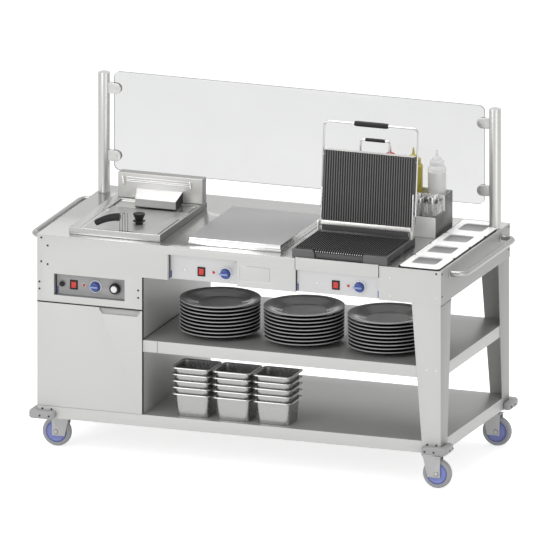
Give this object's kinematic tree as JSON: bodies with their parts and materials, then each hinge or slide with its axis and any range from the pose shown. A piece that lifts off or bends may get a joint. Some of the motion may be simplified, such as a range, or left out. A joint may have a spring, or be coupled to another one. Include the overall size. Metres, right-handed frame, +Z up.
{
  "type": "snack trolley",
  "caption": "Mobile snack trolley with drop-in fryer, hot plate, contact grill, sauce rack, covered ingredient wells, glass screen, cupboard, open shelves and swivel casters.",
  "frame": {"origin": "on the floor, below the middle of the body's length and depth", "axes": "+X along the length towards the open-shelf end, -Y towards the operator and the controls, +Z up"},
  "size_m": [1.9238, 0.893, 1.459],
  "materials": {
    "satin_steel": "satin",
    "pale_steel": "fine satin",
    "dark_steel": "dark satin",
    "polished_steel": "polished",
    "cast_iron": "seasoned matt",
    "black_plastic": "satin",
    "blue_plastic": "gloss",
    "red_lens": "gloss, translucent",
    "grey_rubber": "matt",
    "white_plastic": "satin",
    "yellow_plastic": "satin",
    "red_plastic": "satin",
    "clear_plastic": "translucent",
    "glass": "clear",
    "slate_ceramic": "semi-matt glaze"
  },
  "bodies": {
    "trolley": {"worktop": "satin_steel", "apron": "pale_steel", "leg_front_right": "pale_steel", "leg_rear_right": "pale_steel", "mid_shelf": "satin_steel", "bottom_shelf": "satin_steel", "cupboard_shell": "satin_steel", "fryer_panel": "satin_steel", "hot_plate_panel": "satin_steel", "grill_panel": "satin_steel", "fryer_tank": "satin_steel", "fryer_head": "satin_steel", "hot_plate": "satin_steel", "grill_base": "dark_steel", "grill_lower_plate": "cast_iron", "sauce_rack": "satin_steel", "bottle_clear": "clear_plastic", "bottle_yellow": "yellow_plastic", "bottle_red": "red_plastic", "ingredient_tray": "white_plastic", "glass_screen": "glass", "screen_post_left": "satin_steel", "screen_post_right": "satin_steel", "push_handle_left": "polished_steel", "push_handle_right": "polished_steel", "bumper_front_left": "grey_rubber", "bumper_front_right": "grey_rubber", "bumper_rear_left": "grey_rubber", "bumper_rear_right": "grey_rubber", "dish_stack_1": "slate_ceramic", "dish_stack_2": "slate_ceramic", "dish_stack_3": "slate_ceramic", "pan_stack_1": "polished_steel", "pan_stack_2": "polished_steel", "pan_stack_3": "polished_steel"},
    "caster_front_right": {"caster_fork_front_right": "polished_steel"},
    "wheel_front_right": {"caster_wheel_front_right": "grey_rubber"},
    "caster_rear_right": {"caster_fork_rear_right": "polished_steel"},
    "wheel_rear_right": {"caster_wheel_rear_right": "grey_rubber"},
    "caster_front_left": {"caster_fork_front_left": "polished_steel"},
    "wheel_front_left": {"caster_wheel_front_left": "grey_rubber"},
    "caster_rear_left": {"caster_fork_rear_left": "polished_steel"},
    "wheel_rear_left": {"caster_wheel_rear_left": "grey_rubber"},
    "door": {"cupboard_door": "pale_steel"},
    "drawer": {"grease_drawer": "pale_steel"},
    "drip_tray": {"grill_drip_tray": "dark_steel"},
    "fryer_thermostat": {"fryer_knob": "blue_plastic"},
    "hot_plate_thermostat": {"hot_plate_knob": "blue_plastic"},
    "grill_thermostat": {"grill_knob": "blue_plastic"},
    "fryer_rocker": {"fryer_switch": "red_lens"},
    "hot_plate_rocker": {"hot_plate_switch": "red_lens"},
    "grill_rocker": {"grill_switch": "red_lens"},
    "reset_button": {"fryer_reset_button": "black_plastic"},
    "drain_knob": {"fryer_drain_knob": "black_plastic"},
    "grill_lid": {"grill_upper_plate": "cast_iron", "grill_lid_housing": "satin_steel", "grill_handle_loop": "polished_steel", "grill_handle_grip": "black_plastic"},
    "basket": {"fryer_basket": "polished_steel", "fryer_lid": "pale_steel"}
  },
  "joints": [
    {"name": "swivel_front_right", "type": "hinge", "parent": "trolley", "child": "caster_front_right", "pos_m": [0.817, -0.36, 0.1567], "axis": [0, 0, 1], "continuous": true},
    {"name": "roll_front_right", "type": "hinge", "parent": "caster_front_right", "child": "wheel_front_right", "pos_m": [0.852, -0.36, 0.0625], "axis": [0, 1, 0], "continuous": true},
    {"name": "swivel_rear_right", "type": "hinge", "parent": "trolley", "child": "caster_rear_right", "pos_m": [0.817, 0.36, 0.1567], "axis": [0, 0, 1], "continuous": true},
    {"name": "roll_rear_right", "type": "hinge", "parent": "caster_rear_right", "child": "wheel_rear_right", "pos_m": [0.852, 0.36, 0.0625], "axis": [0, 1, 0], "continuous": true},
    {"name": "swivel_front_left", "type": "hinge", "parent": "trolley", "child": "caster_front_left", "pos_m": [-0.82, -0.261, 0.1567], "axis": [0, 0, 1], "continuous": true},
    {"name": "roll_front_left", "type": "hinge", "parent": "caster_front_left", "child": "wheel_front_left", "pos_m": [-0.855, -0.261, 0.0625], "axis": [0, 1, 0], "continuous": true},
    {"name": "swivel_rear_left", "type": "hinge", "parent": "trolley", "child": "caster_rear_left", "pos_m": [-0.82, 0.261, 0.1567], "axis": [0, 0, 1], "continuous": true},
    {"name": "roll_rear_left", "type": "hinge", "parent": "caster_rear_left", "child": "wheel_rear_left", "pos_m": [-0.855, 0.261, 0.0625], "axis": [0, 1, 0], "continuous": true},
    {"name": "door_hinge", "type": "hinge", "parent": "trolley", "child": "door", "pos_m": [-0.8875, -0.398, 0.43], "axis": [0, 0, -1], "range_deg": [0, 110]},
    {"name": "drawer_slide", "type": "slide", "parent": "trolley", "child": "drawer", "axis": [0, -1, 0], "range_m": [0, 0.17]},
    {"name": "drip_tray_slide", "type": "slide", "parent": "trolley", "child": "drip_tray", "axis": [0, -1, 0], "range_m": [0, 0.15]},
    {"name": "fryer_thermostat_turn", "type": "hinge", "parent": "trolley", "child": "fryer_thermostat", "pos_m": [-0.6415, -0.3865, 0.729], "axis": [0, 1, 0], "range_deg": [0, 270]},
    {"name": "hot_plate_thermostat_turn", "type": "hinge", "parent": "trolley", "child": "hot_plate_thermostat", "pos_m": [-0.0703, -0.3865, 0.836], "axis": [0, 1, 0], "range_deg": [0, 270]},
    {"name": "grill_thermostat_turn", "type": "hinge", "parent": "trolley", "child": "grill_thermostat", "pos_m": [0.5238, -0.4015, 0.837], "axis": [0, 1, 0], "range_deg": [0, 270]},
    {"name": "fryer_rocker_tilt", "type": "hinge", "parent": "trolley", "child": "fryer_rocker", "pos_m": [-0.736, -0.3855, 0.729], "axis": [1, 0, 0], "range_deg": [0, 14]},
    {"name": "hot_plate_rocker_tilt", "type": "hinge", "parent": "trolley", "child": "hot_plate_rocker", "pos_m": [-0.1757, -0.3855, 0.836], "axis": [1, 0, 0], "range_deg": [0, 14]},
    {"name": "grill_rocker_tilt", "type": "hinge", "parent": "trolley", "child": "grill_rocker", "pos_m": [0.4205, -0.4005, 0.837], "axis": [1, 0, 0], "range_deg": [0, 14]},
    {"name": "reset_press", "type": "slide", "parent": "trolley", "child": "reset_button", "axis": [0, 1, 0], "range_m": [0, 0.003], "stiffness_N_per_m": 300},
    {"name": "drain_turn", "type": "hinge", "parent": "trolley", "child": "drain_knob", "pos_m": [-0.5545, -0.3865, 0.729], "axis": [0, 1, 0], "range_deg": [0, 90]},
    {"name": "grill_lid_hinge", "type": "hinge", "parent": "trolley", "child": "grill_lid", "pos_m": [0.4405, -0.105, 1.01], "axis": [1, 0, 0], "range_deg": [0, 96]},
    {"name": "basket_lift", "type": "slide", "parent": "trolley", "child": "basket", "axis": [0, 0, 1], "range_m": [0, 0.15]}
  ]
}
